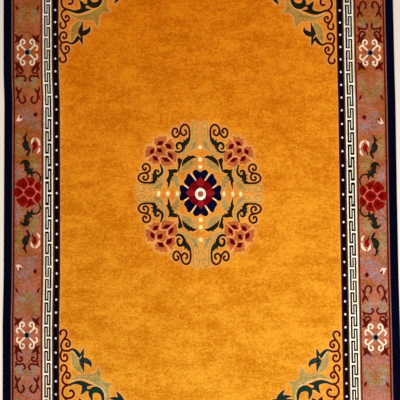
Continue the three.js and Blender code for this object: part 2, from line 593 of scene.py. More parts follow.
def corner_middle():
    """The flower and leaves that bridge the two halves of a corner spray."""
    shapes = []
    x, y = FOOT_AT
    for k in range(FOOT_PETALS):
        turn = radians(FOOT_TURN + 360 / FOOT_PETALS * k)
        waist, tip = ((x + a * cos(turn), y + b * sin(turn)) for a, b in (FOOT_WAIST, FOOT_TIP))
        shapes += leaves("russet", [(x, y, 16), (*waist, 26), (*tip, 3)])
    shapes += leaves(
        "olive",
        [(56, 231, 4), (95, 247, 16), (130, 247, 26), (165, 240, 34), (193, 217, 36), (214, 190, 34),
         (221, 150, 20), (218, 130, 6)],
        [(178, 250, 36), (183, 268, 22), (185, 288, 3)],
        [(214, 206, 34), (228, 212, 22), (245, 217, 3)],
    )
    shapes += leaves(
        "olive_pale",
        [(80, 244, 3), (126, 253, 8), (164, 246, 12), (180, 262, 4)],
        [(176, 230, 4), (204, 206, 12), (220, 176, 10), (222, 146, 3)],
    )
    shapes += stems(
        "straw", 5,
        [(58, 228), (91, 237), (121, 234), (151, 222), (176, 209), (201, 195), (214, 170), (216, 140)],
    )
    shapes.append(("bottle_blue", lens(112, 210, 126, 194, 13)))
    shapes += leaves(
        "bottle",
        [(52, 212, 9), (74, 220, 12), (96, 221, 19), (118, 215, 22), (138, 212, 13), (158, 211, 2)],
        [(118, 213, 22), (120, 197, 25), (113, 183, 17), (101, 167, 2)],
        [(120, 195, 14), (134, 188, 10), (152, 190, 12)],
        [(157, 138, 2), (151, 155, 13), (148, 174, 21), (160, 189, 27), (178, 190, 27), (194, 181, 21),
         (203, 163, 15), (206, 136, 9)],
    )
    return shapes + leaves("bottle_green", [(150, 168, 3), (160, 186, 12), (182, 187, 12), (198, 172, 3)])


def corner_sprays():
    """Four sprays, each nearly mirrored about its own corner's slant. The upper two have browner leaves."""
    shift_in, shift_up = CORNER_SHIFT
    side = corner_side()
    spray = side + moved(side, lambda a, b: (b / CORNER_DRAW + shift_in, a * CORNER_DRAW + shift_up))
    spray += corner_hook() + corner_crown() + corner_middle()
    browner = {"bottle": "sable", "bottle_blue": "sable", "bottle_green": "sable_green"}
    brown_spray = [(browner.get(name, name), line) for name, line in spray]
    shapes = []
    for across, up, anchor, height, draw in CORNER_SETTING:
        shapes += moved(
            brown_spray if up > 0 else spray,
            lambda a, b: (across * (anchor - a), up * (height + (CORNER_CROWN - b) * draw)),
        )
    return shapes


# Flower border: (in towards the field, along the side), from the middle line of the border

def border_rosette():
    """Four pairs of cream hooks round a dark eye, with dark red forked leaves at the slants."""
    fork_x, fork_y = 42, 63
    tips = ((60, 87), (20, 83), (61, 44), (35, 36))
    quarter = leaves("oxblood", *(
        [(fork_x, fork_y, 20), ((fork_x + x) / 2, (fork_y + y) / 2, 13), (x, y, 2)] for x, y in tips))
    quarter.append(("oxblood", disc(43, 62, 24, 26)))
    quarter += stems(
        "ivory", 7.5,
        [(11, 11), (24, 24), (34, 32), (42, 32), (47, 24), (46, 15), (41, 10)],
        [(29, 28), (33, 42), (31, 54), (23, 60), (14, 55), (13, 45), (20, 40)],
    )
    shapes = [("ember", disc(-38, 0, 44, 56)), ("ember", disc(38, 0, 44, 56))] + four_ways(quarter)
    return shapes + [("smoke", disc(1, 0, 31, 32)), ("midnight", disc(-1, 0, 20, 23))]


def border_scrolls():
    """The pairs of dark red scrolls that follow a rosette, measured from the rosette's eye."""
    faded = leaves(
        "moss",
        [(52, -138, 10), (38, -156, 36), (24, -174, 32), (12, -194, 6)],
        [(47, 104, 8), (37, 134, 34), (24, 168, 32), (12, 198, 8)],
    )
    faded += leaves(
        "mauve",
        [(30, -140, 10), (22, -160, 26), (16, -184, 8)],
        [(30, 196, 6), (36, 166, 22), (44, 132, 6)],
    )
    warm = [("ember", lens(0, -170, 0, -226, 34)), ("ember", lens(0, 62, 0, 96, 26))]
    scrolls = stems(
        "oxblood", 9.5,
        [(46, -72), (49, -96), (44, -114), (33, -120), (23, -113), (24, -102), (34, -101)],
        [(50, -134), (37, -134), (22, -131), (11, -139), (9, -150), (16, -157)],
    )
    scrolls += leaves(
        "oxblood",
        [(52, -117, 3), (49, -132, 12), (58, -147, 3)],
        [(55, -182, 3), (53, -196, 11), (46, -212, 10)],
        [(30, -190, 3), (37, -202, 11), (46, -216, 10)],
    )
    scrolls += stems(
        "oxblood", 9.5,
        [(46, -208), (46, -230), (41, -251), (30, -262), (18, -256), (14, -242), (21, -229)],
    )
    scrolls += leaves("oxblood", [(47, -222, 9), (53, -236, 8), (60, -249, 2)])
    return both_ways(faded) + warm + both_ways(scrolls)


def border_lotus():
    """A dark red flower of seven petals round a cornered heart, parted by coral lines."""
    petal_swell, heart_swell = 1.1, 1.15
    shade_in, shade_share = 0.9, 0.45
    heart = [(33, 4), (21, 22), (3, 25), (-17, 4), (3, -17), (21, -14)]
    petals = (
        [(30, 32), (38, 48), (50, 52), (59, 42), (60, 25), (54, 10), (40, 18)],
        [(31, 62), (25, 46), (15, 34), (3, 38), (2, 52), (-10, 76), (5, 71), (20, 73)],
        [(-4, 50), (-6, 34), (-20, 19), (-37, 29), (-54, 37), (-48, 55), (-34, 64), (-20, 69)],
        [(-25, 4), (-36, 19), (-51, 25), (-65, 14), (-65, -3), (-53, -16), (-38, -11)],
        [(-19, -11), (-4, -28), (-6, -45), (-25, -62), (-42, -48), (-53, -30), (-38, -22)],
        [(17, -26), (23, -38), (33, -49), (18, -57), (2, -65), (-10, -68), (-4, -51), (4, -31)],
        [(54, -3), (44, 1), (35, -11), (28, -24), (35, -36), (45, -43), (56, -34), (60, -18)],
    )
    shapes = [("coral", disc(2, 0, 92, 98, 24))]
    for petal in petals:
        outline = closed_curve(petal, 3)
        middle = outline.mean(axis=0)
        shapes.append(("lotus_red", middle + (outline - middle) * petal_swell))
        shapes.append(("lotus_deep", middle * shade_in + (outline - middle) * shade_share))
    shapes.append(("lotus_red", heart_swell * closed_curve(heart, 2) - (1, 0)))
    shapes.append(("lotus_deep", lens(-8, 8, 24, 0, 16)))
    return shapes


def border_leaves():
    """Leaves, bud flower and buds above a border lotus, measured from its middle."""
    faded = leaves(
        "moss",
        [(12, 186, 10), (22, 160, 34), (36, 130, 36), (46, 104, 10)],
        [(-42, 290, 8), (-46, 250, 28), (-42, 205, 32), (-38, 160, 10)],
    )
    faded += leaves(
        "mauve",
        [(-50, 138, 10), (-42, 100, 40), (-38, 58, 14)],
        [(-40, 318, 12), (0, 326, 46), (44, 316, 32), (58, 300, 8)],
        [(-56, 392, 10), (-22, 382, 36), (8, 358, 42), (10, 336, 12)],
    )
    faded += leaves(
        "ember",
        [(54, 290, 8), (44, 262, 42), (48, 214, 38), (56, 186, 10)],
        [(56, 168, 8), (55, 128, 18), (56, 92, 10)],
    )
    upper = [
        (1, 175), (-11, 172), (-6, 188), (0, 198), (-13, 200), (-27, 220), (-27, 234), (-18, 249),
        (-26, 260), (-2, 292), (-9, 264), (-9, 250), (1, 241), (3, 224), (13, 200), (7, 187),
    ]
    dark = leaves("sable", [(-38, 132, 2), (-27, 145, 12), (-12, 149, 18), (1, 142, 14), (11, 126, 2)])
    dark += toothed(
        "sable", [(27, 98, 8), (15, 97, 20), (3, 106, 26), (-6, 122, 22), (-12, 140, 18)],
        [(17, 94, 14, 19, 71), (2, 100, 16, -5, 78), (-6, 116, 15, -21, 103), (10, 104, 13, 24, 118)])
    dark.append(("sable", np.array(upper, float)))
    dark += leaves(
        "sable", [(24, 97, 9), (37, 98, 8), (50, 90, 8), (58, 75, 8), (56, 57, 7), (47, 39, 5)])
    dark += [("bottle", lens(14, 99, -4, 124, 9)), ("bottle", lens(-19, 238, 4, 200, 9))]
    bud_flower = leaves("oxblood", [(19, 188, 3), (24, 204, 8), (31, 222, 12)])
    heart = [(34, 205), (42, 218), (40, 235), (30, 243), (20, 233), (24, 215)]
    bud_flower.append(("lotus_red", closed_curve(heart, 3)))
    bud_flower += leaves(
        "ivory",
        [(15, 231, 4), (19, 248, 10), (29, 259, 4)],
        [(36, 259, 5), (49, 246, 11), (54, 230, 8), (54, 221, 3)],
        [(52, 213, 4), (52, 201, 10), (42, 188, 3)],
    )
    bud = [(34, 358), (43, 365), (42, 376), (32, 381), (25, 373), (26, 362)]
    buds = [("oxblood", closed_curve(bud, 3))]
    buds += leaves("blossom", [(-43, 366, 3), (-45, 355, 9), (-47, 344, 11), (-38, 343, 9), (-29, 353, 3)])
    buds.append(("blossom", lens(-58, 340, -42, 348, 8)))
    buds += leaves("oxblood", [(-34, 363, 6), (-36, 356, 9), (-39, 350, 3)])
    return faded + dark + bud_flower + buds


def border_flecks():
    """Two small slanted leaves that close a run of the border."""
    return both_ways(leaves("oxblood", [(45, -12, 3), (50, 0, 11), (57, 13, 3)]))


def flower_border():
    """The runs of flowers along both sides and both ends, and a rosette in each corner."""
    upper = border_leaves()
    spray = upper + moved(upper, lambda x, y: (x, -LEAVES_BELOW * y)) + border_lotus()
    rosette, scrolls, flecks = border_rosette(), border_scrolls(), border_flecks()

    def run(lotus_at, rosettes_at, scrolls_at, flecks_at):
        stations = [(spray, lotus_at)] + [(rosette, at) for at in rosettes_at]
        stations += [(scrolls, at) for at in scrolls_at] + [(flecks, at) for at in flecks_at]
        return [figure for part, at in stations for figure in moved(part, lambda x, y: (x, y + at))]

    end = spray + moved(flecks, lambda x, y: (x, y + END_FLECKS))
    end += moved(flecks, lambda x, y: (x, -END_FLECKS - y))
    shapes = moved(run(*RUN_LEFT), lambda x, y: (x - BORDER_MID_X, y))
    shapes += moved(run(*RUN_RIGHT), lambda x, y: (BORDER_MID_X - x, -y))
    for turn in (-1, 1):
        shapes += moved(end, lambda x, y: (turn * y, turn * (BORDER_MID_Y - x * END_STRETCH)))
        for up in (-1, 1):
            shapes += moved(rosette, lambda x, y: (x + turn * BORDER_MID_X, y + up * BORDER_MID_Y))
    return shapes


# From the chart to the pile

def band_of(x, y):
    """Number of the woven band that each point lies in."""
    inset = np.minimum(WIDTH / 2 - abs(x), (LENGTH / 2 - abs(y)) / END_STRETCH)
    starts = [start for start, _ in BANDS]
    return np.searchsorted(starts, inset, side="right") - 1


def band_lines():
    """Outlines of the rings between the bands, the pile's own edge first."""
    lines = []
    for inset in [RIM_TOP_INSET] + [start for start, _ in BANDS[1:]]:
        half_x = WIDTH / 2 - inset
        half_y = LENGTH / 2 - inset * (END_STRETCH if inset > RIM_TOP_INSET else 1)
        across = np.linspace(-half_x, half_x, round(2 * half_x / BAND_STEP), endpoint=False)
        up = np.linspace(-half_y, half_y, round(2 * half_y / BAND_STEP), endpoint=False)
        lines.append(np.vstack([
            np.column_stack([across, np.full_like(across, -half_y)]),
            np.column_stack([np.full_like(up, half_x), up]),
            np.column_stack([-across, np.full_like(across, half_y)]),
            np.column_stack([np.full_like(up, -half_x), -up]),
        ]))
    return lines


def beside(line):
    """Points just inside and outside an outline, so that the pile can slope there."""
    along = np.roll(line, -1, axis=0) - np.roll(line, 1, axis=0)
    along /= np.maximum(np.linalg.norm(along, axis=1), TINY)[:, None]
    out = np.column_stack([along[:, 1], -along[:, 0]]) * BESIDE_OUTLINE
    return np.vstack([(line + out)[::BESIDE_EVERY], (line - out)[1::BESIDE_EVERY]])


def tree_of(points):
    """A search tree of flat points."""
    tree = KDTree(len(points))
    for i, point in enumerate(points):
        tree.insert((*point, 0.0), i)
    tree.balance()
    return tree


def lattice(rng, shapes):
    """Loose points that fill the pile: close where it is figured, wide in the plain field."""
    def grid(step):
        nx, ny = int(WIDTH / step), int(LENGTH / step)
        x, y = np.meshgrid((np.arange(nx) + 0.5) * WIDTH / nx, (np.arange(ny) + 0.5) * LENGTH / ny)
        points = np.column_stack([x.ravel() - WIDTH / 2, y.ravel() - LENGTH / 2])
        return points + rng.uniform(-LATTICE_STRAY, LATTICE_STRAY, points.shape) * step

    drawn = tree_of(np.vstack([line for _, line in shapes]))

    def near_figure(point):
        return drawn.find((*point, 0.0))[2] < FIGURED_REACH

    close = [p for p in grid(LATTICE_FIGURED) if near_figure(p)]
    wide = [p for p in grid(LATTICE_PLAIN) if not near_figure(p)]
    points = np.array(close + wide)
    inset = np.minimum(EDGE_X - abs(points[:, 0]), EDGE_Y - abs(points[:, 1]))
    return points[inset > EDGE_CLEAR]


def inside(points, outline):
    """Which points an outline winds round."""
    ax, ay = outline[:, 0], outline[:, 1]
    bx, by = np.roll(ax, -1), np.roll(ay, -1)
    px, py = points[:, :1], points[:, 1:]
    left = (bx - ax) * (py - ay) - (px - ax) * (by - ay)
    up = (ay <= py) & (by > py) & (left > 0)
    down = (ay > py) & (by <= py) & (left < 0)
    return up.sum(axis=1) != down.sum(axis=1)


def woven(points):
    """Where points of the straight weave really lie: skewed, with wandering long edges."""
    x, y = points[:, 0], points[:, 1]
    share = x / WIDTH + 0.5
    inner = ((WIDTH / 2 - abs(x) - INNER_START) / INNER_EASE).clip(0, 1)
    left, right = (
        np.interp(y, WANDER_ALONG, outer_edge) + inner * np.interp(y, INNER_ALONG, inner_edge)
        for outer_edge, inner_edge in ((WANDER_LEFT, INNER_LEFT), (WANDER_RIGHT, INNER_RIGHT))
    )
    return np.column_stack([x + SKEW * y + left + (right - left) * share, y])


class Pile:
    """The pile's triangles: flat points, corners and the yarn of each triangle."""

    def __init__(self, rng, pearl):
        figures = corner_sprays() + medallion() + flower_border() + key_fret() + pearls(pearl)
        shapes = [figure for figure in figures if figure[0] not in SOFT_YARNS]
        self.soft = [figure for figure in figures if figure[0] in SOFT_YARNS]
        points, edges = [], []
        for line in band_lines() + [line for _, line in shapes]:
            first = len(points)
            points.extend(line)
            edges.extend((first + i, first + (i + 1) % len(line)) for i in range(len(line)))
        for _, line in shapes:
            points.extend(beside(line))
        points.extend(lattice(rng, shapes))
        points = np.array(points)
        points = points.clip((-EDGE_X, -EDGE_Y), (EDGE_X, EDGE_Y))
        found = delaunay_2d_cdt([tuple(p) for p in points], edges, [], 0, MERGE_WITHIN, False)
        self.points = np.array([tuple(p) for p in found[0]])
        self.triangles = np.array(found[2])
        self.names = sorted({yarn for yarn, _ in shapes} | {yarn for _, yarn in BANDS})
        self.yarns = self.dye(shapes)

    def dye(self, shapes):
        """The yarn of each triangle: its band, then whichever figure is drawn over it last."""
        number = {name: i for i, name in enumerate(self.names)}
        middles = self.points[self.triangles].mean(axis=1)
        bands = np.array([number[yarn] for _, yarn in BANDS])
        yarns = bands[band_of(middles[:, 0], middles[:, 1])]
        order = np.argsort(middles[:, 1])
        heights = middles[order, 1]
        for yarn, line in shapes:
            low, high = np.searchsorted(heights, (line[:, 1].min(), line[:, 1].max()))
            some = order[low:high]
            within = (middles[some, 0] > line[:, 0].min()) & (middles[some, 0] < line[:, 0].max())
            some = some[within]
            if len(some):
                yarns[some[inside(middles[some], line)]] = number[yarn]
        return yarns

    def softness(self, yarn_name):
        """How much of a faded leaf's yarn each point shows, from 0 outside its leaves to 1 inside."""
        share = np.zeros(len(self.points))
        for name, line in self.soft:
            if name != yarn_name:
                continue
            low, high = line.min(axis=0) - SOFT_EDGE, line.max(axis=0) + SOFT_EDGE
            some = np.flatnonzero(((self.points > low) & (self.points < high)).all(axis=1))
            if not len(some):
                continue
            away = np.linalg.norm(self.points[some][:, None] - line[None], axis=2).min(axis=1)
            depth = np.where(inside(self.points[some], line), away, -away)
            share[some] = np.maximum(share[some], (0.5 + depth / SOFT_EDGE).clip(0, 1))
        return share

    def reach(self):
        """Distance of each point from the nearest line where two yarns meet."""
        sides = {}
        meeting = []
        for yarn, (a, b, c) in zip(self.yarns, self.triangles):
            for edge in ((a, b), (b, c), (c, a)):
                key = (min(edge), max(edge))
                if key not in sides:
                    sides[key] = yarn
                elif sides[key] != yarn:
                    meeting.append(key)
        ends = self.points[np.array(meeting)]
        tree = tree_of(np.vstack([ends[:, 0], ends[:, 1], ends.mean(axis=1)]))
        return np.array([tree.find((*p, 0.0))[2] for p in self.points])


# Shading

# Slots of a Mix node that mixes colours
MIX_SHARE, MIX_A, MIX_B, MIX_COLOUR = 0, 6, 7, 2

# How the dye fades for each metre along and across the rug, between a deep and a dry tint
FADE_ALONG = 0.40
FADE_ACROSS = 0.15
DEEP_TINT = (1.0, 0.72, 0.15, 1.0)
DRY_TINT = (1.0, 1.28, 1.9, 1.0)

# Patches of the border's ground, and painted light: how much brighter the pile is painted for each metre
# across, as if more light fell on that side
GROUND_WARM = (180, 88, 46)
GROUND_DULL = (150, 106, 80)
PATCH_START = 0.40
PATCH_SPEED = 4.0
PATCH_SHARE = 0.5
GROUND_FADES = 0.6
PAINTED_LIGHT_ACROSS = 0.11

# How much of a faded leaf is left on the border's ground, at least and more in its patches
LEAF_LEAST = 0.3
LEAF_PATCHY = 0.8

# Tints of the mottling, dark and light, on the field and the border's ground and then on other
# yarns, the shares of its three scales, and the spots and tufts over it
GOLD_TINTS = ((0.82, 0.66, 0.20, 1.0), (1.18, 1.34, 2.0, 1.0))
PLAIN_TINTS = ((0.84, 0.82, 0.80, 1.0), (1.16, 1.18, 1.2, 1.0))
MOTTLE_SHARE = 3.6
FLECK_SHARE = 2.8
STREAK_SHARE = 1.8
SPOT_GAIN = (2.0, 2.2, 2.6)
SPOT_SHIFT = (0.0, -0.1, -0.3)
FIELD_SPOTS = 0.3
GROUND_SPOTS = 0.9
TUFT_DARK = 0.92
TUFT_GAIN = 0.16

# Painted highlight: a pale seam, standing in for light caught where the field is clipped against a figure
PAINTED_HIGHLIGHT = (240, 176, 100)
PAINTED_HIGHLIGHT_SHARE = 0.6
PAINTED_HIGHLIGHT_FALL = 3.5

# The back's ground yarn and how dark it is between its clouds and ribs, and the floor's faint clouds
BACK_YARN = (186, 140, 92)
BACK_DARK = 0.5
BACK_CLOUD = 0.35
BACK_RIBS = 0.3
FLOOR_CLOUD = 0.04


class Socket:
    """A shader socket that takes part in Python arithmetic by adding Math nodes."""

    def __init__(self, tree, socket):
        self.tree = tree
        self.socket = socket

    def node(self, kind, settings=None, sockets=None, output=0):
        """Adds a node of a kind, with its settings and the values or links of its sockets."""
        made = self.tree.nodes.new(kind)
        for key, value in (settings or {}).items():
            setattr(made, key, value)
        for key, value in (sockets or {}).items():
            if isinstance(value, Socket):
                self.tree.links.new(value.socket, made.inputs[key])
            else:
                made.inputs[key].default_value = value
        return Socket(self.tree, made.outputs[output])

    def math(self, operation, a, b):
        return self.node("ShaderNodeMath", {"operation": operation}, {0: a, 1: b})

    def __add__(self, other):
        return self.math("ADD", self, other)

    __radd__ = __add__

    def __sub__(self, other):
        return self.math("SUBTRACT", self, other)

    def __rsub__(self, other):
        return self.math("SUBTRACT", other, self)

    def __mul__(self, other):
        return self.math("MULTIPLY", self, other)

    __rmul__ = __mul__


def new_material(name, roughness, specular):
    """A material with a matte Principled shader; returns it with its tree's start and its shader."""
    material = bpy.data.materials.new(name)
    material.use_nodes = True
    tree = material.node_tree
    shader = tree.nodes["Principled BSDF"]
    shader.inputs["Roughness"].default_value = roughness
    shader.inputs["Specular IOR Level"].default_value = specular
    start = Socket(tree, None)
    return material, start, shader


def mixed(start, blend, share, a, b):
    """Two colours mixed by a blend type."""
    settings = {"data_type": "RGBA", "blend_type": blend, "clamp_factor": True}
    return start.node("ShaderNodeMix", settings, {MIX_SHARE: share, MIX_A: a, MIX_B: b}, MIX_COLOUR)


def noise(start, place, scale, detail, roughness=0.5, output="Fac"):
    """Cloudy value from 0 to 1 at a scale in cycles a metre, or a cloudy colour as output Color."""
    sockets = {"Vector": place, "Scale": scale, "Detail": detail, "Roughness": roughness}
    return start.node("ShaderNodeTexNoise", {"noise_dimensions": "3D"}, sockets, output)


def opaque(red, green, blue):
    """A screen colour from 0 to 255 as a shader's colour."""
    return (*linear(red, green, blue), 1.0)


def wool_pile_material(faded_leaves):
    """Cut wool: dyed yarn from the chart, mottled at every scale, with the dye fading along the rug, painted
    light brightening it towards +X, and a painted highlight along clipped outlines.
    """
    material, start, shader = new_material("wool_pile", roughness=0.95, specular=0.04)

    def attribute(name, output):
        return start.node("ShaderNodeAttribute", {"attribute_name": name}, None, output)

    def mapped(**settings):
        return start.node("ShaderNodeMapping", None, {"Vector": place, **settings})

    yarn = attribute("yarn_colour", "Color")
    kind = attribute("yarn_colour", "Alpha")
    # Painted highlight: how close each point lies to a clipped outline, read to lighten the colour there
    painted_highlight_level = attribute("clipped_edge", "Fac")
    leaf = attribute("faded_leaf", "Vector")
    place = start.node("ShaderNodeTexCoord", output="Object")
    across = start.node("ShaderNodeSeparateXYZ", None, {0: place}, "X")
    along = start.node("ShaderNodeSeparateXYZ", None, {0: place}, "Y")
    weft = mapped(Scale=(0.8, 1.0, 1.0))
    row = mapped(Scale=(0.2, 1.0, 1.0))
    shift = mapped(Location=(3.7, 1.9, 0.0))
    mottle = noise(start, weft, 4.0, 6.0, 1.0)
    fleck = noise(start, weft, 110.0, 2.0, 0.9)
    streak = noise(start, row, 24.0, 4.0, 0.8)
    blotch = noise(start, shift, 10.0, 5.0, 0.85)
    motes = noise(start, shift, 120.0, 2.0, 0.9, "Color")
    grain = noise(start, place, 420.0, 1.0)

    # The yarn's mark gives 1 on the field in is_field and 1 on the border's ground in is_ground
    is_field = kind * 2 - 1
    is_ground = 1 - start.node("ShaderNodeMath", {"operation": "ABSOLUTE"}, {0: is_field})

    # The ground's patches and the faded leaves, and then the fading of the whole rug
    patch = (blotch - PATCH_START) * PATCH_SPEED
    ground = mixed(start, "MIX", patch, opaque(*GROUND_WARM), opaque(*GROUND_DULL))
    patchy = mixed(start, "MIX", PATCH_SHARE * is_ground, yarn, ground)
    for axis, colour, on_field in zip("XYZ", faded_leaves, SOFT_ON_FIELD):
        share = start.node("ShaderNodeSeparateXYZ", None, {0: leaf}, axis)
        hold = is_ground * (LEAF_LEAST + LEAF_PATCHY * blotch) + is_field * on_field
        patchy = mixed(start, "MIX", share * hold, patchy, (*colour, 1.0))
    fade = 0.5 - FADE_ALONG * along + FADE_ACROSS * across
    dry = mixed(start, "MIX", fade, DEEP_TINT, DRY_TINT)
    faded = mixed(start, "MULTIPLY", is_field + GROUND_FADES * is_ground, patchy, dry)

    # Mottling, fine spots of other dyes, the grain of the tufts, and painted light that brightens the pile
    # towards +X
    depth = 0.5 + MOTTLE_SHARE * (mottle - 0.5) + FLECK_SHARE * (fleck - 0.5) + STREAK_SHARE * (streak - 0.5)
    gold_tint = mixed(start, "MIX", depth, *GOLD_TINTS)
    plain_tint = mixed(start, "MIX", depth, *PLAIN_TINTS)
    tint = mixed(start, "MIX", is_field + is_ground, plain_tint, gold_tint)
    mottled = mixed(start, "MULTIPLY", 1.0, faded, tint)
    spots = start.node(
        "ShaderNodeVectorMath", {"operation": "MULTIPLY_ADD"}, {0: motes, 1: SPOT_GAIN, 2: SPOT_SHIFT})
    spotted = FIELD_SPOTS * is_field + GROUND_SPOTS * is_ground
    speckled = mixed(start, "MULTIPLY", spotted, mottled, spots)
    # Painted light: the pile's colour is made brighter towards +X, as if more light fell on that side
    level = (TUFT_DARK + TUFT_GAIN * grain) * (1.0 + PAINTED_LIGHT_ACROSS * across)
    dyed = mixed(start, "MULTIPLY", 1.0, speckled, level)

    # The painted highlight along clipped outlines falls with the mark, so it is strong on the field and faint
    # on the light yarns
    rim = PAINTED_HIGHLIGHT_SHARE * painted_highlight_level * (PAINTED_HIGHLIGHT_FALL * is_field - (PAINTED_HIGHLIGHT_FALL - 1))
    with_painted_highlight = mixed(start, "MIX", rim, dyed, opaque(*PAINTED_HIGHLIGHT))
    start.tree.links.new(with_painted_highlight.socket, shader.inputs["Base Color"])
    tufts = 0.5 * grain + 0.5 * mottle
    bump = start.node("ShaderNodeBump", None, {"Strength": 0.5, "Distance": 0.002, "Height": tufts})
    start.tree.links.new(bump.socket, shader.inputs["Normal"])
    return material


def woven_back_material():
    """The flat woven back: pale ground yarn in close ribs."""
    material, start, shader = new_material("woven_back", roughness=0.95, specular=0.1)
    place = start.node("ShaderNodeTexCoord", output="Object")
    cloud = noise(start, place, 9.0, 3.0)
    ribs = start.node(
        "ShaderNodeTexWave",
        {"wave_type": "BANDS", "bands_direction": "Y"},
        {"Vector": place, "Scale": 45.0, "Distortion": 1.2, "Detail": 2.0},
        output="Fac",
    )
    shade = BACK_CLOUD * cloud + BACK_RIBS * ribs + BACK_DARK
    colour = mixed(start, "MULTIPLY", 1.0, opaque(*BACK_YARN), shade)
    start.tree.links.new(colour.socket, shader.inputs["Base Color"])
    bump = start.node("ShaderNodeBump", None, {"Strength": 0.5, "Distance": 0.001, "Height": ribs})
    start.tree.links.new(bump.socket, shader.inputs["Normal"])
    return material


def floor_material(colour):
    """Plain pale floor."""
    material, start, shader = new_material("pale_floor", roughness=0.8, specular=0.2)
    place = start.node("ShaderNodeTexCoord", output="Object")
    cloud = noise(start, place, 1.5, 2.0)
    shade = FLOOR_CLOUD * cloud + (1 - FLOOR_CLOUD)
    tone = mixed(start, "MULTIPLY", 1.0, (*colour, 1.0), shade)
    start.tree.links.new(tone.socket, shader.inputs["Base Color"])
    return material


# Settings

def yarn(name, description, red, green, blue):
    """A colour setting for one dyed yarn, from its screen colour."""
    return FloatVectorProperty(
        name=name, description=description, subtype="COLOR", size=3, min=0.0, max=1.0,
        default=linear(red, green, blue),
    )


class RugYarns(bpy.types.PropertyGroup):
    """Colours of the dyed wool."""

    gold: yarn("Gold", "Plain field", 222, 132, 20)
    navy: yarn("Navy", "Outer edge", 2, 2, 22)
    blush: yarn("Blush", "Thin line inside the edge", 142, 94, 86)
    oxblood: yarn("Oxblood", "Lines and scrolls of the border", 88, 16, 6)
    rose_brown: yarn("Rose brown", "Ground of the flower border", 166, 95, 60)
    tan: yarn("Tan", "Edge of the key fret band", 178, 120, 92)
    cream: yarn("Cream", "Key fret band and the flower's eye", 255, 244, 222)
    ink: yarn("Ink", "Dark ground of the key fret", 4, 3, 2)
    umber: yarn("Umber", "Line between fret and guard", 84, 48, 34)
    midnight: yarn("Midnight", "Guard behind the pearls, petals of the middle flower and eyes", 10, 2, 10)
    bark: yarn("Bark", "Line between guard and field", 54, 22, 10)
    pearl: yarn("Pearl", "Dots of the guard", 244, 238, 246)
    bottle: yarn("Bottle green", "Dark leaves of the lower corners, and veins elsewhere", 32, 42, 36)
    bottle_blue: yarn("Bottle blue", "Bluer parts of the lower corners' leaves", 46, 58, 64)
    bottle_green: yarn("Deep green", "Greener parts of the lower corners' leaves", 22, 54, 32)
    sable: yarn("Sable", "Dark leaves elsewhere", 34, 27, 11)
    sable_green: yarn("Sable green", "Greener parts of the upper corners' leaves", 34, 34, 6)
    olive: yarn("Olive", "Pale leaves", 154, 130, 56)
    olive_pale: yarn("Pale olive", "Veins, and the medallion's palest leaves", 174, 136, 60)
    khaki: yarn("Khaki", "Key bars of the medallion", 216, 140, 40)
    tan_line: yarn("Tan line", "Outlines of the key bars and of the medallion's ring", 174, 138, 58)
    wheat: yarn("Wheat", "The medallion's ring", 214, 158, 92)
    bead: yarn("Bead", "Beads on the medallion's axes", 252, 232, 176)
    straw: yarn("Straw", "Outlines between the leaves", 222, 176, 108)
    russet: yarn("Russet", "Scrolls of the corners", 90, 10, 2)
    plum: yarn("Plum", "Scrolls of the medallion", 66, 14, 6)
    heart_navy: yarn("Petal navy", "Lighter middles of the middle flower's petals", 6, 6, 38)
    ruby: yarn("Ruby", "Rosette of the middle flower", 150, 22, 28)
    ruby_deep: yarn("Deep ruby", "Shade within the rosette", 112, 2, 10)
    shell: yarn("Shell", "Slits between the middle flower's petals", 250, 212, 186)
    umber_eye: yarn("Eye", "Eye of the middle flower", 172, 100, 66)
    rose: yarn("Rose", "Petals of the medallion's lotuses", 190, 98, 46)
    rose_deep: yarn("Deep rose", "Shade of those petals", 172, 76, 44)
    pink: yarn("Pink", "Outlines of those petals", 238, 156, 96)
    garnet: yarn("Garnet", "Cores of those petals", 88, 0, 0)
    ivory: yarn("Ivory", "Hooks and bud flowers of the border", 252, 222, 192)
    smoke: yarn("Smoke", "Ring of the border rosettes", 128, 116, 112)
    coral: yarn("Coral", "Lines of the border lotus", 214, 100, 84)
    lotus_red: yarn("Lotus red", "Petals of the border lotus and bud flower", 130, 10, 6)
    lotus_deep: yarn("Deep lotus red", "Shade of the border lotus petals", 104, 2, 2)
    moss: yarn("Moss", "Faded leaves of the border and round the medallion's ring", 150, 128, 70)
    mauve: yarn("Mauve", "Faded petals of the border", 154, 112, 100)
    ember: yarn("Ember", "Warm patches of the border", 178, 98, 58)
    blossom: yarn("Blossom", "Small buds of the border", 246, 208, 194)


class RugSizes(bpy.types.PropertyGroup):
    """Sizes of the pile's finish."""

    clip_depth: FloatProperty(
        name="Clip depth", description="How deep the pile is clipped between two yarns",
        default=0.0013, unit="LENGTH",
    )
    uneven: FloatProperty(
        name="Unevenness", description="How much the tips of the pile vary",
        default=0.00025, unit="LENGTH",
    )
    pearl_width: FloatProperty(
        name="Pearl width", description="Width of a white dot of the guard",
        default=0.0092, unit="LENGTH",
    )


class RugStage(bpy.types.PropertyGroup):
    """Camera, light and floor."""

    lens: FloatProperty(name="Lens", description="Focal length", default=50.0, unit="CAMERA")
    camera_height: FloatProperty(
        name="Camera height", description="Height of the camera over the pile", default=2.5853, unit="LENGTH")
    floor_colour: FloatVectorProperty(
        name="Floor", description="Plain pale floor", subtype="COLOR", size=3, default=linear(252, 240, 230))
    light_power: FloatProperty(
        name="Light", description="Power of the soft overhead light", default=128.0, unit="POWER")
    sky_strength: FloatProperty(name="Sky", description="Strength of the even light all round", default=0.39)


# Operators

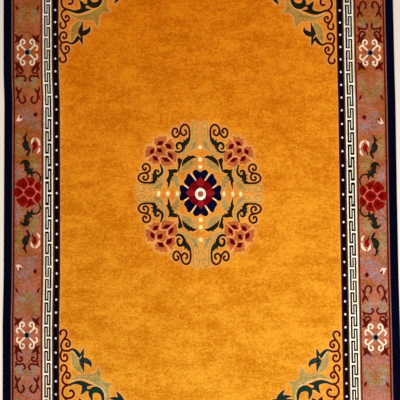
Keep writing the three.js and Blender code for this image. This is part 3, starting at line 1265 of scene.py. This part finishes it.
def close_cloth(mesh):
    """Turns the pile's edge over the rim and closes the cloth with its flat back."""
    bm = bmesh.new()
    bm.from_mesh(mesh)
    loop = [e for e in bm.edges if e.is_boundary]
    edge_x, edge_y = EDGE_X, EDGE_Y
    for inset, z in RIM:
        made = bmesh.ops.extrude_edge_only(bm, edges=loop)["geom"]
        loop = [g for g in made if isinstance(g, bmesh.types.BMEdge) and g.is_boundary]
        share_x = (WIDTH / 2 - inset) / edge_x
        share_y = (LENGTH / 2 - inset) / edge_y
        for v in {v for e in loop for v in e.verts}:
            v.co.x *= share_x
            v.co.y *= share_y
            v.co.z = z
        edge_x, edge_y = WIDTH / 2 - inset, LENGTH / 2 - inset
    before = len(bm.faces)
    bmesh.ops.triangle_fill(bm, edges=loop, use_beauty=True)
    bm.faces.ensure_lookup_table()
    for face in bm.faces[before:]:
        face.material_index = 1
    bmesh.ops.recalc_face_normals(bm, faces=bm.faces)
    bm.to_mesh(mesh)
    bm.free()


def store(mesh, name, kind, domain, field, values):
    """Keeps values on a mesh's points or corners, for its material to read."""
    mesh.attributes.new(name, kind, domain).data.foreach_set(field, np.ravel(values))


class RUG_OT_knot_pile(bpy.types.Operator):
    """Knots the rug: patterned pile, rounded rim and flat woven back, as one closed cloth"""

    bl_idname = "rug.knot_pile"
    bl_label = "Knot pile"

    def execute(self, context):
        yarns = context.scene.rug_yarns
        sizes = context.scene.rug_sizes
        rng = np.random.default_rng(SEED)
        pile = Pile(rng, sizes.pearl_width / METRES)
        reach = pile.reach()
        height = PILE_TOP - sizes.clip_depth / METRES * np.exp(-((reach / CLIP_REACH) ** 2))
        height -= sizes.uneven / METRES * rng.random(len(height))
        on_edge = (abs(abs(pile.points) - (EDGE_X, EDGE_Y)) < ON_EDGE).any(axis=1)
        height[on_edge] = PILE_TOP

        mesh = bpy.data.meshes.new("rug_pile")
        flat = np.column_stack([pile.points, height])
        mesh.from_pydata(flat.tolist(), [], pile.triangles.tolist())
        close_cloth(mesh)
        place = np.empty(len(mesh.vertices) * 3)
        mesh.vertices.foreach_get("co", place)
        place = place.reshape(-1, 3)
        place[:, :2] = woven(place[:, :2])
        mesh.vertices.foreach_set("co", (place * METRES).ravel())

        colours = np.array([(*getattr(yarns, name), FADES.get(name, 0.0)) for name in pile.names])
        faces = np.tile(colours[pile.names.index("navy")], (len(mesh.polygons), 1))
        faces[: len(pile.yarns)] = colours[pile.yarns]
        sides = np.empty(len(mesh.polygons), int)
        mesh.polygons.foreach_get("loop_total", sides)
        store(mesh, "yarn_colour", "FLOAT_COLOR", "CORNER", "color", np.repeat(faces, sides, axis=0))
        # Painted highlight: a pale seam along the lines where two yarns meet, strong close by with a faint
        # wide glow
        painted_highlight_level = np.zeros(len(mesh.vertices))
        near, far = (np.exp(-((reach / wide) ** 2)) for wide in (PAINTED_HIGHLIGHT_REACH, PAINTED_GLOW_REACH))
        painted_highlight_level[: len(reach)] = near + PAINTED_GLOW_SHARE * (1 - near) * far
        store(mesh, "clipped_edge", "FLOAT", "POINT", "value", painted_highlight_level)
        soft = np.zeros((len(mesh.vertices), len(SOFT_YARNS)))
        soft[: len(reach)] = np.column_stack([pile.softness(name) for name in SOFT_YARNS])
        store(mesh, "faded_leaf", "FLOAT_VECTOR", "POINT", "vector", soft)
        mesh.polygons.foreach_set("use_smooth", np.ones(len(mesh.polygons), bool))
        mesh.update()

        rug = bpy.data.objects.new("rug_pile", mesh)
        context.scene.collection.objects.link(rug)
        mesh.materials.append(wool_pile_material([getattr(yarns, name) for name in SOFT_YARNS]))
        mesh.materials.append(woven_back_material())
        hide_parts("rug")
        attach(rug, "root")
        return {"FINISHED"}


class RUG_OT_set_stage(bpy.types.Operator):
    """Lays the floor, hangs the soft light and sets the camera straight above the rug"""

    bl_idname = "rug.set_stage"
    bl_label = "Set stage"

    def execute(self, context):
        stage = context.scene.rug_stage
        scene = context.scene
        scene.view_settings.view_transform = "Standard"

        bm = bmesh.new()
        bmesh.ops.create_grid(bm, x_segments=1, y_segments=1, size=FLOOR_HALF)
        mesh = bpy.data.meshes.new("floor")
        bm.to_mesh(mesh)
        bm.free()
        floor = bpy.data.objects.new("floor", mesh)
        mesh.materials.append(floor_material(stage.floor_colour))
        scene.collection.objects.link(floor)

        world = bpy.data.worlds.new("studio")
        scene.world = world
        world.use_nodes = True
        sky = world.node_tree.nodes["Background"]
        sky.inputs["Color"].default_value = SKY_COLOUR
        sky.inputs["Strength"].default_value = stage.sky_strength

        lamp = bpy.data.lights.new("soft_light", "AREA")
        lamp.shape = "RECTANGLE"
        lamp.size = LIGHT_SIDE
        lamp.size_y = LIGHT_SIDE
        lamp.energy = stage.light_power
        lamp.color = LIGHT_COLOUR
        light = bpy.data.objects.new("soft_light", lamp)
        light.location = LIGHT_PLACE
        light.rotation_euler = [radians(turn) for turn in LIGHT_TURN]
        scene.collection.objects.link(light)

        view = bpy.data.cameras.new("camera")
        view.lens = stage.lens
        view.sensor_width = SENSOR_WIDTH
        camera = bpy.data.objects.new("camera", view)
        camera.rotation_mode = "ZYX"
        camera.rotation_euler = Euler([radians(turn) for turn in CAMERA_TURN], "ZYX")
        camera.location = (CAMERA_X, CAMERA_Y, stage.camera_height + PILE_TOP * METRES)
        scene.collection.objects.link(camera)
        scene.camera = camera
        return {"FINISHED"}


class RUG_PT_sidebar(bpy.types.Panel):
    """Lists the rug's sizes, colours and stage, and the steps that make it"""

    bl_idname = "RUG_PT_sidebar"
    bl_label = "Tibetan Rug"
    bl_space_type = "VIEW_3D"
    bl_region_type = "UI"
    bl_category = "Rug"

    def draw(self, context):
        layout = self.layout
        for group in (context.scene.rug_sizes, context.scene.rug_yarns, context.scene.rug_stage):
            for name in group.__annotations__:
                layout.prop(group, name)
        for step in STEPS:
            layout.operator(step.bl_idname)


STEPS = (RUG_OT_knot_pile, RUG_OT_set_stage)
CLASSES = (RugSizes, RugYarns, RugStage, *STEPS, RUG_PT_sidebar)


def register():
    for cls in CLASSES:
        bpy.utils.register_class(cls)
    bpy.types.Scene.rug_sizes = PointerProperty(type=RugSizes)
    bpy.types.Scene.rug_yarns = PointerProperty(type=RugYarns)
    bpy.types.Scene.rug_stage = PointerProperty(type=RugStage)


def unregister():
    del bpy.types.Scene.rug_stage
    del bpy.types.Scene.rug_yarns
    del bpy.types.Scene.rug_sizes
    for cls in reversed(CLASSES):
        bpy.utils.unregister_class(cls)


def main():
    register()
    bpy.ops.rug.knot_pile()
    bpy.ops.rug.set_stage()


if __name__ == "__main__":
    main()
